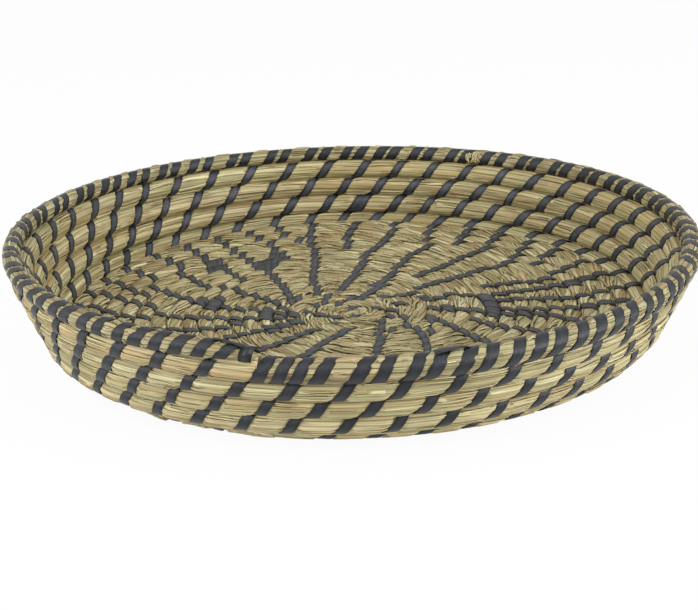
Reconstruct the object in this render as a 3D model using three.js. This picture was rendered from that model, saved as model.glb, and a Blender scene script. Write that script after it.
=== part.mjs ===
// A coiled grass tray. One bundle of dried grass winds outward from the centre of the floor, turns up
// into the wall and ends on the rim, and flat dark strips are wound round it to bind turn to turn.
// Millimetres, +Z up. The origin is on the resting plane, below the middle of the rim's outline.
import * as THREE from "three";

// Outline of the tray, along the middle of the bundle
const floorRadius = 170.6; // where the wall starts to turn up
const flatFloorRadius = 125; // inside it the floor lies on the ground
const floorDish = 5; // the floor's edge stands this much above its flat middle
const bendRadius = 7.6; // of the turn from floor to wall
const wallLean = THREE.MathUtils.degToRad(19); // out from upright
const wallTurns = 5; // from the floor's edge to the bundle's end
const endAzimuth = THREE.MathUtils.degToRad(256.5); // where the bundle ends on the rim

// Width of the bundle with its share of the gap to the next turn
const centreWidth = 7.8;
const floorEdgeWidth = 10.6;
const wallWidth = 13.4;
const rimEndWidth = 10.8;
const tailWidth = 8;
const tailLength = 30; // the bundle thins to its blunt end over this length
const bundleDepth = 0.94; // thickness across the wall as a share of the width along it

// The bundle's first end, which lies across the middle of the floor and folds back on itself
const foldRadius = 4.25;
const firstEndLength = 8;
const foldOffset = 2; // from the centre of the floor to the start of the fold

// Strips
const stripWidth = 5.6;
const stripThickness = 0.6;
const stripClearance = 0.5;
const stitchesPerTurn = 44.55; // the odd share sets each row's stitches ahead of the row below
const rimPairSpacing = 10.5; // between the two strips of a pair on the rim
const tuckedEndLength = 16;
const leftEndFromTail = 14; // from the bundle's end to the middle of the left tucked end
const rightEndFromStart = 125; // from the start of the rim to the middle of the right one
const bareTailLength = 24; // of the bundle's end, which the rim's strips leave bare

// Shape that the hands gave it
const ovalShare = 0.03; // longer along X and shorter along Y by this share
const floorShiftX = -1.7; // of the floor against the rim
const floorShiftY = 7.9;
const rimWave = 1.65; // the rim stands higher at both ends of X and lower at both ends of Y
const rimTilt = 1.2; // and rises by this towards +Y

const jointGap = 0.3; // between two lengths of the bundle, end to end
const stepsPerTurn = 24;
const innerStepsPerTurn = 12; // in the smallest turns of the floor
const innerStepsRadius = 60;
const turnGap = stripThickness + 2 * stripClearance; // between two turns of the bundle
const bendAngle = Math.PI / 2 - wallLean;
const bendLength = bendRadius * bendAngle;
const floorGrowth = (floorEdgeWidth - centreWidth) / floorRadius;
const spiralPole = centreWidth / floorGrowth;
const rimStart = wallTurns - 1; // the last turn is the rim

const grass = { color: 0xc8b283, roughness: 0.75, metalness: 0 };
const paleGrass = { color: 0xd6c396, roughness: 0.7, metalness: 0 };
const strip = { color: 0x23242f, roughness: 0.4, metalness: 0 };

const smooth = (x) => THREE.MathUtils.smoothstep(x, 0, 1);
const mix = THREE.MathUtils.lerp;

// Places along the bundle are counted in turns from the floor's edge: below 0 on the floor, up to
// wallTurns at its end. The azimuth grows with them, anticlockwise from above.
const azimuthOf = (turn) => endAzimuth + 2 * Math.PI * (turn - wallTurns);

// The floor is a spiral whose spacing grows with its radius, as the bundle does.
const spiralRadius = (turn) =>
  (floorRadius + spiralPole) * Math.exp(floorGrowth * turn) - spiralPole;
const turnAtRadius = (radius) =>
  Math.log((radius + spiralPole) / (floorRadius + spiralPole)) / floorGrowth;

function widthOf(turn) {
  if (turn <= 0) return centreWidth + floorGrowth * spiralRadius(turn);
  if (turn <= 1) return mix(floorEdgeWidth, wallWidth, smooth(turn));
  if (turn <= rimStart) return wallWidth;
  const left = wallTurns - turn;
  const rim = mix(rimEndWidth, wallWidth, smooth((left - 0.4) / 0.6));
  const toEnd = left * 2 * Math.PI * floorRadius;
  return mix(tailWidth, rim, smooth(toEnd / tailLength));
}

// Distance up the tray's profile from the floor's edge. Each turn lies on the one below it.
function distanceOf(turn) {
  if (turn <= 0) return spiralRadius(turn) - floorRadius;
  return distanceOf(turn - 1) + (widthOf(turn) + widthOf(turn - 1)) / 2;
}

// Radius, height and slope of the profile at a distance from the floor's edge.
function profileAt(distance) {
  if (distance <= 0) {
    const radius = floorRadius + distance;
    const share = THREE.MathUtils.clamp(
      (radius - flatFloorRadius) / (floorRadius - flatFloorRadius), 0, 1);
    const slope = (6 * share * (1 - share) * floorDish) / (floorRadius - flatFloorRadius);
    return { radius, height: floorDish * smooth(share), angle: Math.atan(slope) };
  }
  const turned = Math.min(distance, bendLength) / bendRadius;
  const straight = Math.max(distance - bendLength, 0);
  return {
    radius: floorRadius + bendRadius * Math.sin(turned) + straight * Math.sin(wallLean),
    height: floorDish + bendRadius * (1 - Math.cos(turned)) + straight * Math.cos(wallLean),
    angle: turned,
  };
}

const cornerHeight = floorDish + (wallWidth * bundleDepth) / 2;
const rimHeight = cornerHeight + profileAt(distanceOf(wallTurns - 0.5)).height - floorDish;

// The even round tray is pressed a little oval, its rim waves, its floor sits off the rim's centre, and
// nothing reaches below the resting plane.
function handShaped(point) {
  const up = THREE.MathUtils.clamp(
    (point.z - cornerHeight) / (rimHeight - cornerHeight), 0, 1.3);
  const around = Math.atan2(point.y, point.x);
  return new THREE.Vector3(
    point.x * (1 + ovalShare) + (1 - up) * floorShiftX,
    point.y * (1 - ovalShare) + (1 - up) * floorShiftY,
    Math.max(point.z, 0) + up * (rimWave * Math.cos(2 * around) + rimTilt * Math.sin(around)),
  );
}

// Six corners of the bundle's section, as shares of its half width and half thickness. They start at the
// side of the turn before and go round by the underside or outside of the tray.
const corners = [
  [-1, 0],
  [-0.5, -1],
  [0.5, -1],
  [1, 0],
  [0.5, 1],
  [-0.5, 1],
];

function ring(centre, sideways, upward, width, growth) {
  const halfWidth = (width - turnGap) / 2 + growth;
  const halfDepth = (width * bundleDepth) / 2 + growth;
  return corners.map(([side, depth]) =>
    handShaped(
      centre
        .clone()
        .addScaledVector(sideways, side * halfWidth)
        .addScaledVector(upward, depth * halfDepth),
    ),
  );
}

function ringAtTurn(turn, growth = 0) {
  const width = widthOf(turn);
  const lift = (widthOf(Math.min(turn, rimStart)) * bundleDepth) / 2;
  const { radius, height, angle } = profileAt(distanceOf(turn));
  const azimuth = azimuthOf(turn);
  const outward = new THREE.Vector3(Math.cos(azimuth), Math.sin(azimuth), 0);
  const up = new THREE.Vector3(0, 0, 1);
  const centre = outward
    .clone()
    .multiplyScalar(radius)
    .addScaledVector(up, height + lift);
  const sideways = outward.clone().multiplyScalar(Math.cos(angle)).addScaledVector(up, Math.sin(angle));
  const upward = outward.clone().multiplyScalar(-Math.sin(angle)).addScaledVector(up, Math.cos(angle));
  return ring(centre, sideways, upward, width, growth);
}

// Between its stations the bundle runs straight, and so does what lies on it.
function ringBetween(turn, growth = 0) {
  const before = Math.floor(turn * stepsPerTurn + 1e-9) / stepsPerTurn;
  const share = (turn - before) * stepsPerTurn;
  const first = ringAtTurn(before, growth);
  if (share < 1e-6) return first;
  const second = ringAtTurn(Math.min(before + 1 / stepsPerTurn, wallTurns), growth);
  return first.map((corner, k) => corner.clone().lerp(second[k], share));
}

// A closed tube through rings of equally many corners.
function tube(rings) {
  const sides = rings[0].length;
  const index = [];
  for (let i = 0; i + 1 < rings.length; i++) {
    for (let k = 0; k < sides; k++) {
      const a = i * sides + k;
      const b = i * sides + ((k + 1) % sides);
      index.push(a, a + sides, b, b, a + sides, b + sides);
    }
  }
  const last = (rings.length - 1) * sides;
  for (let k = 1; k + 1 < sides; k++) {
    index.push(0, k, k + 1);
    index.push(last, last + k + 1, last + k);
  }
  const geometry = new THREE.BufferGeometry().setFromPoints(rings.flat());
  geometry.setIndex(index);
  geometry.computeVertexNormals();
  return geometry;
}

// The bundle's stations from one turn to another, both included.
function stations(from, to) {
  const turns = [];
  for (let i = Math.ceil(from * stepsPerTurn); i <= to * stepsPerTurn + 1e-9; i++) {
    turns.push(i / stepsPerTurn);
  }
  return turns;
}

// Two lengths of the bundle meet half way between two stations, where it runs straight.
const halfStep = 0.5 / stepsPerTurn;
const gapInTurns = (turn) =>
  jointGap / 2 / (2 * Math.PI * profileAt(distanceOf(turn)).radius);

// The floor's bundle: straight across the centre, a fold back on itself, and the spiral.
function floorRings() {
  const firstRadius = Math.hypot(foldOffset, 2 * foldRadius);
  const firstTurn = turnAtRadius(firstRadius);
  const foldTurned = azimuthOf(firstTurn) - Math.atan2(2 * foldRadius, foldOffset);
  const up = new THREE.Vector3(0, 0, 1);
  const placed = (x, y, heading) => {
    const centre = new THREE.Vector3(x, y, (centreWidth * bundleDepth) / 2).applyAxisAngle(up, foldTurned);
    const sideways = new THREE.Vector3(Math.sin(heading), -Math.cos(heading), 0).applyAxisAngle(up, foldTurned);
    return ring(centre, sideways, up, centreWidth, 0);
  };
  const rings = [placed(foldOffset - firstEndLength, 0, 0)];
  const foldSteps = innerStepsPerTurn / 2;
  for (let i = 0; i < foldSteps; i++) {
    const heading = (i / foldSteps) * Math.PI;
    rings.push(
      placed(
        foldOffset + foldRadius * Math.sin(heading),
        foldRadius * (1 - Math.cos(heading)),
        heading,
      ),
    );
  }
  rings.push(ringAtTurn(firstTurn));
  const coarse = stepsPerTurn / innerStepsPerTurn;
  for (const turn of stations(firstTurn + halfStep, -halfStep)) {
    const inner = spiralRadius(turn) < innerStepsRadius;
    if (inner && Math.round(turn * stepsPerTurn) % coarse) continue;
    rings.push(ringAtTurn(turn));
  }
  rings.push(ringBetween(-halfStep - gapInTurns(0)));
  return rings;
}

function wallRings() {
  const end = rimStart - halfStep;
  return [
    ringBetween(-halfStep + gapInTurns(0)),
    ...stations(0, end).map((turn) => ringAtTurn(turn)),
    ringBetween(end - gapInTurns(rimStart)),
  ];
}

function rimRings() {
  const start = rimStart - halfStep;
  return [
    ringBetween(start + gapInTurns(rimStart)),
    ...stations(rimStart, wallTurns).map((turn) => ringAtTurn(turn)),
  ];
}

// A strip is wound helically: up the outside and down the inside, onward along the bundle all the time.
// It crosses the two flat faces steeply and makes most of its way in the grooves between the turns.
const stripAdvance = [0, 0.085, 0.145, 0.23, 0.585, 0.645]; // share of a stitch at each corner

function stripRings(from, to, shift) {
  const rings = [];
  const firstStitch = Math.ceil(from * stitchesPerTurn - shift);
  const lastStitch = Math.floor(to * stitchesPerTurn - shift) - 1;
  for (let stitch = firstStitch; stitch < lastStitch; stitch++) {
    stripAdvance.forEach((advance, k) => {
      const turn = (stitch + shift + advance) / stitchesPerTurn;
      const around = 2 * Math.PI * profileAt(distanceOf(turn)).radius;
      const half = stripWidth / 2 / around;
      rings.push([
        ringBetween(turn - half, stripClearance)[k],
        ringBetween(turn + half, stripClearance)[k],
        ringBetween(turn, stripClearance + stripThickness)[k],
      ]);
    });
  }
  return rings;
}

// A strip's end that is tucked along the inner top of the rim, over the strips that cross it.
function tuckedEndRings(middle, under) {
  const around = 2 * Math.PI * profileAt(distanceOf(middle)).radius;
  const half = tuckedEndLength / 2 / around;
  return [-1, 0, 1].map((place) => {
    const turn = middle + place * half;
    const lower = ringBetween(turn, under);
    const upper = ringBetween(turn, under + stripThickness);
    const top = 3;
    const inner = 4;
    return [
      upper[top].clone().lerp(upper[inner], 0.25),
      upper[top].clone().lerp(upper[inner], 0.95),
      lower[top].clone().lerp(lower[inner], 0.95),
      lower[top].clone().lerp(lower[inner], 0.25),
    ];
  });
}

// Least distance between points of the bundle's surface that lie on different turns.
function leastGap(rings) {
  const apart = innerStepsPerTurn / 2;
  let least = Infinity;
  for (let i = 0; i < rings.length; i++) {
    for (let j = i + apart; j < rings.length; j++) {
      if (rings[i][0].distanceTo(rings[j][0]) > 3 * wallWidth) continue;
      for (const a of rings[i]) {
        for (const b of rings[j]) least = Math.min(least, a.distanceTo(b));
      }
    }
  }
  return least;
}

const tray = new THREE.Group();

function addPiece(name, rings, finish) {
  const mesh = new THREE.Mesh(tube(rings), new THREE.MeshStandardMaterial(finish));
  mesh.name = name;
  tray.add(mesh);
}

const bundle = { floor_coil: floorRings(), wall_coil: wallRings(), rim_coil: rimRings() };
for (const [name, rings] of Object.entries(bundle)) {
  addPiece(name, rings, name === "floor_coil" ? grass : paleGrass);
  console.log(name + ": least gap to itself " + leastGap(rings).toFixed(2) + " mm");
}

for (let row = 0; row < rimStart; row++) {
  addPiece("wall_strip_" + (row + 1), stripRings(row, row + 1, 0), strip);
}
const rimLength = 2 * Math.PI * profileAt(distanceOf(rimStart)).radius;
const pairShift = (rimPairSpacing * stitchesPerTurn) / rimLength;
const stripsEnd = wallTurns - bareTailLength / rimLength;
addPiece("rim_strip_first", stripRings(rimStart, stripsEnd, 0), strip);
addPiece("rim_strip_second", stripRings(rimStart, stripsEnd, pairShift), strip);
const overStrips = 2 * stripClearance + stripThickness;
addPiece("tucked_strip_end_left", tuckedEndRings(wallTurns - leftEndFromTail / rimLength, stripClearance), strip);
addPiece("tucked_strip_end_right", tuckedEndRings(rimStart + rightEndFromStart / rimLength, overStrips), strip);

export default tray;
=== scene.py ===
import math

import bpy
import numpy as np
from mathutils import Matrix, Vector


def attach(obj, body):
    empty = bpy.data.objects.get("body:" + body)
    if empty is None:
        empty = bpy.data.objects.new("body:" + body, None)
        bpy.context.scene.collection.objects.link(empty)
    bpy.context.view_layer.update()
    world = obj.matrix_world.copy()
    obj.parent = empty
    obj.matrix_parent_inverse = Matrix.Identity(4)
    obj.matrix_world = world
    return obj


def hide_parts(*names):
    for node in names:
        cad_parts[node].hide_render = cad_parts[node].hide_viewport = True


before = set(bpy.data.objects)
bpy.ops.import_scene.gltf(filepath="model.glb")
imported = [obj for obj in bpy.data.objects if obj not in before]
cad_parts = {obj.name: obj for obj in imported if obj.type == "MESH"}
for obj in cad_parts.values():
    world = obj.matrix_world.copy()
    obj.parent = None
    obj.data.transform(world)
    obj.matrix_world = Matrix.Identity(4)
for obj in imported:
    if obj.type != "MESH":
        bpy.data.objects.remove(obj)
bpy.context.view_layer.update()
mm = 0.001
fullTurn = 2 * math.pi

# The tray in millimetres, close to the solids: one bundle that winds out over the floor, turns up into
# the wall and ends on the rim. Places on it are counted in turns from the floor's edge, so they are
# below 0 on the floor, 0 to 4 on the wall and 4 to 5 on the rim.
tray = {
    "startRadius": 4.0,
    "floorRadius": 170.6,
    "flatFloorRadius": 125.0,
    "floorDish": 5.0,
    "bendRadius": 7.6,
    "wallLean": math.radians(19),
    "wallTurns": 5.0,
    "endAzimuth": math.radians(256.5),
    "centreWidth": 7.8,
    "floorEdgeWidth": 10.6,
    "wallWidth": 13.4,
    "rimEndWidth": 10.8,
    "rimThins": (0.4, 0.6),  # how many turns before its end it stops thinning, and over how many it thins
    "tailWidth": 7.0,
    "tailLength": 26.0,
    "bundleDepth": 0.94,
    "ovalShare": 0.03,
    "floorShift": (-1.7, 7.9),
    "rimWave": 1.65,
    "rimTilt": 1.2,
    "highest": 1.3,  # of the rim's height, where the wave stops growing
}
rimStart = tray["wallTurns"] - 1
floorGrowth = (tray["floorEdgeWidth"] - tray["centreWidth"]) / tray["floorRadius"]
spiralPole = tray["centreWidth"] / floorGrowth
bendLength = tray["bendRadius"] * (math.pi / 2 - tray["wallLean"])


def smooth(x):
    x = np.clip(x, 0, 1)
    return x * x * (3 - 2 * x)


def mixed(first, second, share):
    return first + (second - first) * share


def unit(vectors):
    return vectors / np.linalg.norm(vectors, axis=-1, keepdims=True)


def azimuthOf(turn):
    return tray["endAzimuth"] + fullTurn * (turn - tray["wallTurns"])


def spiralRadius(turn):
    return (tray["floorRadius"] + spiralPole) * np.exp(floorGrowth * turn) - spiralPole


def turnAtRadius(radius):
    return math.log((radius + spiralPole) / (tray["floorRadius"] + spiralPole)) / floorGrowth


def widthOf(turn):
    turn = np.asarray(turn, float)
    floorWidth = tray["centreWidth"] + floorGrowth * spiralRadius(np.minimum(turn, 0))
    wall = mixed(tray["floorEdgeWidth"], tray["wallWidth"], smooth(turn))
    left = tray["wallTurns"] - turn
    thinsAt, thinsOver = tray["rimThins"]
    rim = mixed(tray["rimEndWidth"], tray["wallWidth"], smooth((left - thinsAt) / thinsOver))
    toEnd = left * fullTurn * tray["floorRadius"]
    rim = mixed(tray["tailWidth"], rim, smooth(toEnd / tray["tailLength"]))
    return np.where(turn <= 0, floorWidth, np.where(turn <= rimStart, wall, rim))


# Distance up the tray's profile from the floor's edge. Each turn rests on the one before it.
def distanceOf(turn):
    turn = np.asarray(turn, float)
    onFloor = spiralRadius(np.minimum(turn, 0)) - tray["floorRadius"]
    if not (turn > 0).any():
        return onFloor
    above = distanceOf(turn - 1) + (widthOf(turn) + widthOf(turn - 1)) / 2
    return np.where(turn > 0, above, onFloor)


# Radius, height and steepness of the profile: a dished floor, a bend and a straight leaning wall
def profileAt(distance):
    dished = tray["floorRadius"] - tray["flatFloorRadius"]
    radius = tray["floorRadius"] + np.minimum(distance, 0)
    share = np.clip((radius - tray["flatFloorRadius"]) / dished, 0, 1)
    slope = 6 * share * (1 - share) * tray["floorDish"] / dished
    turned = np.clip(distance, 0, bendLength) / tray["bendRadius"]
    straight = np.maximum(distance - bendLength, 0)
    radius = radius + tray["bendRadius"] * np.sin(turned) + straight * math.sin(tray["wallLean"])
    height = (
        tray["floorDish"] * smooth(share)
        + tray["bendRadius"] * (1 - np.cos(turned))
        + straight * math.cos(tray["wallLean"])
    )
    return radius, height, np.where(distance <= 0, np.arctan(slope), turned)


cornerHeight = tray["floorDish"] + tray["wallWidth"] * tray["bundleDepth"] / 2
rimHeight = cornerHeight + float(profileAt(distanceOf(tray["wallTurns"] - 0.5))[1]) - tray["floorDish"]


# The even tray pressed a little oval, with a waving rim and the floor off the rim's centre
def handShaped(points):
    x, y, z = points[..., 0], points[..., 1], points[..., 2]
    up = np.clip((z - cornerHeight) / (rimHeight - cornerHeight), 0, tray["highest"])
    around = np.arctan2(y, x)
    shiftX, shiftY = tray["floorShift"]
    lift = tray["rimWave"] * np.cos(2 * around) + tray["rimTilt"] * np.sin(around)
    return np.stack(
        [
            x * (1 + tray["ovalShare"]) + (1 - up) * shiftX,
            y * (1 - tray["ovalShare"]) + (1 - up) * shiftY,
            z + up * lift,
        ],
        -1,
    )


# Middle line of the bundle, with the directions along it, to the next turn and up out of the tray
def bundleFrame(turn):
    turn = np.asarray(turn, float)

    def centre(turn, ahead=0.0):
        radius, height, angle = profileAt(distanceOf(turn))
        azimuth = azimuthOf(turn)
        lift = widthOf(np.minimum(turn, rimStart)) * tray["bundleDepth"] / 2
        radius = radius + ahead * np.cos(angle)
        height = height + ahead * np.sin(angle)
        return handShaped(np.stack([radius * np.cos(azimuth), radius * np.sin(azimuth), height + lift], -1))

    small = 0.001
    middle = centre(turn)
    along = unit(centre(turn + small) - centre(turn - small))
    side = (centre(turn, 1.0) - centre(turn, -1.0)) / 2
    side -= along * (side * along).sum(-1, keepdims=True)
    spread = np.linalg.norm(side, axis=-1)
    side /= spread[..., None]
    up = np.cross(side, along)
    halfWidth = widthOf(turn) / 2 * spread
    halfDepth = widthOf(turn) / 2 * tray["bundleDepth"]
    return middle, along, side, up, halfWidth, halfDepth


# Length of the bundle from its first end, to space what lies on it
lengthTurns = np.linspace(turnAtRadius(tray["startRadius"]), tray["wallTurns"], 6001)
lengthSteps = np.linalg.norm(np.diff(bundleFrame(lengthTurns)[0], axis=0), axis=1)
lengthAlong = np.concatenate([[0], np.cumsum(lengthSteps)])


def lengthAt(turn):
    return np.interp(turn, lengthTurns, lengthAlong)


def turnAtLength(length):
    return np.interp(length, lengthAlong, lengthTurns)


# Stitches on the wall, counted along the bundle from turn 0, and a little unevenly spread round it
wallStitches = {
    "perTurn": 45.503,
    "first": -0.246,
    "waves": (0.081, 0.309, 0.073, 0.082, -0.027, -0.026, 0.051, -0.048, 0.035, -0.052, -0.026, 0.039),
    "outside": -0.10,  # where the strip crosses the middle of the outside, in stitches
    "inside": 0.48,  # and of the inside
    "clearOfRim": 0.008,  # turns that stay free before the rim starts, on the outside
    "jitter": 0.4,  # millimetres
    "doubledNear": 1.53,  # turn near which one is doubled
    "doubledBy": 4.6,  # millimetres
    "seed": 7,
}
stitchRandom = np.random.default_rng(wallStitches["seed"])


def countAt(turn):
    count = wallStitches["perTurn"] * turn + wallStitches["first"]
    for wave in range(len(wallStitches["waves"]) // 2):
        cosine, sine = wallStitches["waves"][2 * wave : 2 * wave + 2]
        angle = fullTurn * (wave + 1) * turn
        count = count + cosine * np.cos(angle) + sine * np.sin(angle)
    return count


countTurns = np.linspace(-0.1, tray["wallTurns"] + 0.1, 8001)
counts = countAt(countTurns)


def turnsBetween(first, last, shift):
    whole = np.arange(math.ceil(countAt(first) - shift), math.floor(countAt(last) - shift) + 1)
    return np.interp(whole + shift, counts, countTurns)


def jittered(turns, amount):
    shifts = np.clip(stitchRandom.normal(0, 1, len(turns)), -2, 2) * amount
    return turnAtLength(lengthAt(turns) + shifts)


# On the rim they stand in pairs. Turn of the first strip of some of the pairs, by the pair's number:
rimStitches = {
    "pairs": (0, 1, 3, 5, 9, 15, 17, 22, 25, 26, 28, 32, 34, 38, 40, 43, 45),
    "turns": (
        4.0183, 4.0410, 4.0806, 4.1203, 4.2003, 4.3325, 4.3747, 4.4871, 4.5500,
        4.5742, 4.6220, 4.7068, 4.7543, 4.8457, 4.8844, 4.9440, 4.9808,
    ),
    "pairGap": 10.8,  # millimetres
    "evenGap": 13.2,  # where the pairs give way to an even spacing
    "evenPairs": (4, 8),
    "single": (4.0045, 4.0114),
}


def rimTurns():
    pair = np.arange(rimStitches["pairs"][0], rimStitches["pairs"][-1] + 1)
    first = np.interp(pair, rimStitches["pairs"], rimStitches["turns"])
    evenFrom, evenTo = rimStitches["evenPairs"]
    gap = np.where((pair >= evenFrom) & (pair <= evenTo), rimStitches["evenGap"], rimStitches["pairGap"])
    second = turnAtLength(lengthAt(first) + gap)
    return np.sort(np.concatenate([first, second, rimStitches["single"]]))


# Arms of stitches on the floor: radius and azimuth in degrees along each, from where it starts
floorArms = [
    [(138, -4.6), (152, -4), (170, -3)],
    [(92, 7), (105, 6.9), (120, 5.4), (132, 3.8), (150, 4), (172, 5)],
    [(140, 12.7), (165, 14.6)],
    [(90, 24.6), (100, 24), (112, 22.5), (124, 20.3), (132, 20), (142, 22.3), (172, 24)],
    [(138, 30), (152, 33), (168, 34.3)],
    [
        (48, 38), (57, 44), (75, 42.4), (95, 39.5), (115, 39.5), (126, 37.4),
        (138, 38.7), (155, 41.2), (170, 42.8),
    ],
    [(72, 56), (85, 55.5), (100, 52.5), (130, 52), (140, 50), (152, 51), (172, 51.5)],
    [(140, 58.7), (155, 59.6), (172, 60)],
    [(34, 75), (44, 69), (116, 69.3), (127, 66.3), (134, 66), (141, 68), (158, 69.4), (172, 68.8)],
    [
        (26, 130), (33, 120), (40, 103), (45, 96.5), (62, 91), (72, 87.7),
        (85, 85.4), (100, 84.6), (108, 85.2), (128, 81.6), (150, 78.8), (172, 79.2),
    ],
    [(121, 92), (133, 91), (140, 91.5), (150, 90.4), (168, 88.8)],
    [
        (44, 120), (52, 116), (62, 113.5), (80, 108.6), (92, 105.4),
        (105, 103.7), (125, 101.5), (140, 102), (157, 100), (168, 99.2),
    ],
    [(153, 107.5), (168, 108)],
    [(116, 116), (125, 114), (132, 113), (147, 113), (158, 115), (172, 115.8)],
    [
        (40, 158), (47, 147), (56, 138), (66, 132), (74, 129.5),
        (85, 127), (95, 124.8), (105, 125.2), (125, 123.8), (172, 124.2),
    ],
    [(97, 138), (107, 136), (117, 134.8), (130, 135), (140, 134), (150, 133.3), (172, 132.3)],
    [
        (50, 158), (60, 153), (78, 152), (88, 148.5), (96, 148), (104, 151),
        (110, 150), (128, 146.8), (138, 146), (145, 142), (172, 142.3),
    ],
    [
        (38, 184), (48, 176), (62, 171.5), (75, 172), (86, 168.5), (103, 163.2),
        (112, 164), (121, 160.8), (138, 158.5), (145, 153.5), (172, 152.3),
    ],
    [(138, 164), (147, 162.8), (155, 161.5), (172, 161)],
    [(124, 171.3), (135, 171), (158, 169), (172, 169.6)],
    [
        (52, 188), (75, 184), (93, 183), (105, 181.5), (122, 178.3), (130, 182),
        (150, 179), (160, 177), (172, 178),
    ],
    [(70, 193), (82, 195), (97, 195), (120, 191), (172, 187)],
    [(33, 200), (45, 203), (57, 206), (72, 208), (110, 207), (172, 204)],
    [(35, 231), (74, 228.5), (172, 222)],
    [(28, 264), (38, 258), (48, 252), (60, 249.5), (74, 249), (172, 240)],
    [(36, 293), (50, 288), (66, 281), (172, 267)],
    [(40, 323), (52, 318), (62, 311), (74, 304), (172, 294)],
    [(46, 345), (55, 338), (65, 333), (84, 325), (172, 312)],
    [(76, 344), (87, 340), (100, 338.5), (172, 337.5)],
    [(92, 352), (115, 352), (132, 348), (172, 347)],
    [(48, 362), (60, 360), (72, 357), (80, 357)],
    [(45, 381), (58, 380.5), (66, 383), (73, 379.5), (80, 374)],
    [(121, 196), (172, 195.5)],
    [(101, 217), (172, 213)],
    [(112, 235), (172, 231)],
    [(126, 251), (172, 249)],
    [(98, 262), (172, 258)],
    [(106, 278), (172, 276)],
    [(131, 286), (172, 285)],
    [(95, 306), (172, 303)],
    [(114, 322), (172, 321)],
    [(133, 330), (172, 329.5)],
]

# Places where the strip is wound closely: radius and azimuths in degrees
closeWinding = [
    (84, -9, 12), (48.5, 66, 72), (109, 119.5, 126.5), (118, 119, 122.5), (119, 112.5, 116.5),
    (127, 112, 115), (129, 133, 138), (138, 132, 135.5), (93, 161, 172), (97, 164, 167),
    (148, 101.5, 104.5), (50, 170, 184), (22, 76, 92), (58, 205, 212),
]

# Single stitches near the centre: radius and azimuth in degrees
centreStitches = [
    (7, 95), (9, 280), (13, 27), (21, 121), (17, 186), (26, 148), (30, 177), (41, 143), (20, 238),
    (20, 317), (27, 302), (37, 306), (25, 342), (27, 5), (35, 341), (47, 340), (33, 52), (13, 215),
    (37, 204), (47, 208), (36, 25), (47, 27), (56, 4), (44, 41), (46, 2), (45, 167), (39, 179),
    (49, 179), (43, 191), (54, 322),
]

# In millimetres: how far inside its first point an arm may start, how closely the strip is wound in the
# close places, how unevenly it lies, and how far it falls back under the floor
floorStitches = {"armLead": 4, "closeSpacing": 5.2, "jitter": 0.6, "fallsBack": 7.0}


# Part of a turn from one azimuth to another, the short way round
def shareOfTurn(wanted, azimuth):
    return ((wanted - azimuth + math.pi) % fullTurn - math.pi) / fullTurn


def floorTurns():
    grid = np.linspace(lengthTurns[0], 0, 12001)
    radii = spiralRadius(grid)
    turns = []
    for arm in floorArms:
        armRadii, armAzimuths = np.array(arm, float).T
        phase = (azimuthOf(grid) - np.radians(np.interp(radii, armRadii, armAzimuths))) / fullTurn
        whole = np.floor(phase)
        inArm = radii[:-1] > armRadii[0] - floorStitches["armLead"]
        crossed = np.flatnonzero((whole[1:] > whole[:-1]) & inArm)
        share = (whole[crossed + 1] - phase[crossed]) / (phase[crossed + 1] - phase[crossed])
        turns += list(mixed(grid[crossed], grid[crossed + 1], share))
    for radius, first, last in closeWinding:
        turn = turnAtRadius(radius)
        turn += shareOfTurn(math.radians((first + last) / 2), azimuthOf(turn))
        half = math.radians(last - first) / 2 * radius
        number = max(2, round(2 * half / floorStitches["closeSpacing"]) + 1)
        turns += list(turnAtLength(lengthAt(turn) + np.linspace(-half, half, number)))
    for radius, azimuth in centreStitches:
        turn = turnAtRadius(radius)
        turns.append(turn + shareOfTurn(math.radians(azimuth), azimuthOf(turn)))
    return np.sort(np.array(turns))


outsideEnd = rimStart - wallStitches["clearOfRim"]
strokeTurns = {
    "outside": jittered(turnsBetween(0, outsideEnd, wallStitches["outside"]), wallStitches["jitter"]),
    "inside": jittered(turnsBetween(0, rimStart, wallStitches["inside"]), wallStitches["jitter"]),
    "top": jittered(floorTurns(), floorStitches["jitter"]),
    "rim": jittered(rimTurns(), wallStitches["jitter"]),
}
atTwin = np.abs(strokeTurns["inside"] - wallStitches["doubledNear"]).argmin()
twin = turnAtLength(lengthAt(strokeTurns["inside"][atTwin]) + wallStitches["doubledBy"])
strokeTurns["inside"] = np.sort(np.append(strokeTurns["inside"], twin))
underLengths = lengthAt(strokeTurns["top"]) - floorStitches["fallsBack"]
strokeTurns["underside"] = np.minimum(turnAtLength(underLengths), 0)
print("strokes:", {kind: len(turns) for kind, turns in strokeTurns.items()})

# The bundle is also drawn in by the rim's first strip, below it, and by the strip on the tail's end
crossings = {"belowRimStart": 4.0009, "tail": 4.9966}
pinchTurns = dict(
    strokeTurns,
    outside=np.append(strokeTurns["outside"], crossings["belowRimStart"]),
    rim=np.append(strokeTurns["rim"], crossings["tail"]),
)


def addObject(name, data):
    added = bpy.data.objects.new(name, data)
    bpy.context.scene.collection.objects.link(added)
    return added


def feed(tree, socket, value):
    if isinstance(value, bpy.types.NodeSocket):
        tree.links.new(value, socket)
    else:
        socket.default_value = value


def addNode(tree, kind, inputs=None, **settings):
    node = tree.nodes.new(kind)
    for key, value in settings.items():
        setattr(node, key, value)
    for socket, value in (inputs or {}).items():
        feed(tree, node.inputs[socket], value)
    return node


def maths(tree, operation, *values):
    return addNode(tree, "ShaderNodeMath", dict(enumerate(values)), operation=operation).outputs[0]


def times(tree, first, second):
    return maths(tree, "MULTIPLY", first, second)


def vector(tree, *parts):
    return addNode(tree, "ShaderNodeCombineXYZ", dict(enumerate(parts))).outputs[0]


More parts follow.
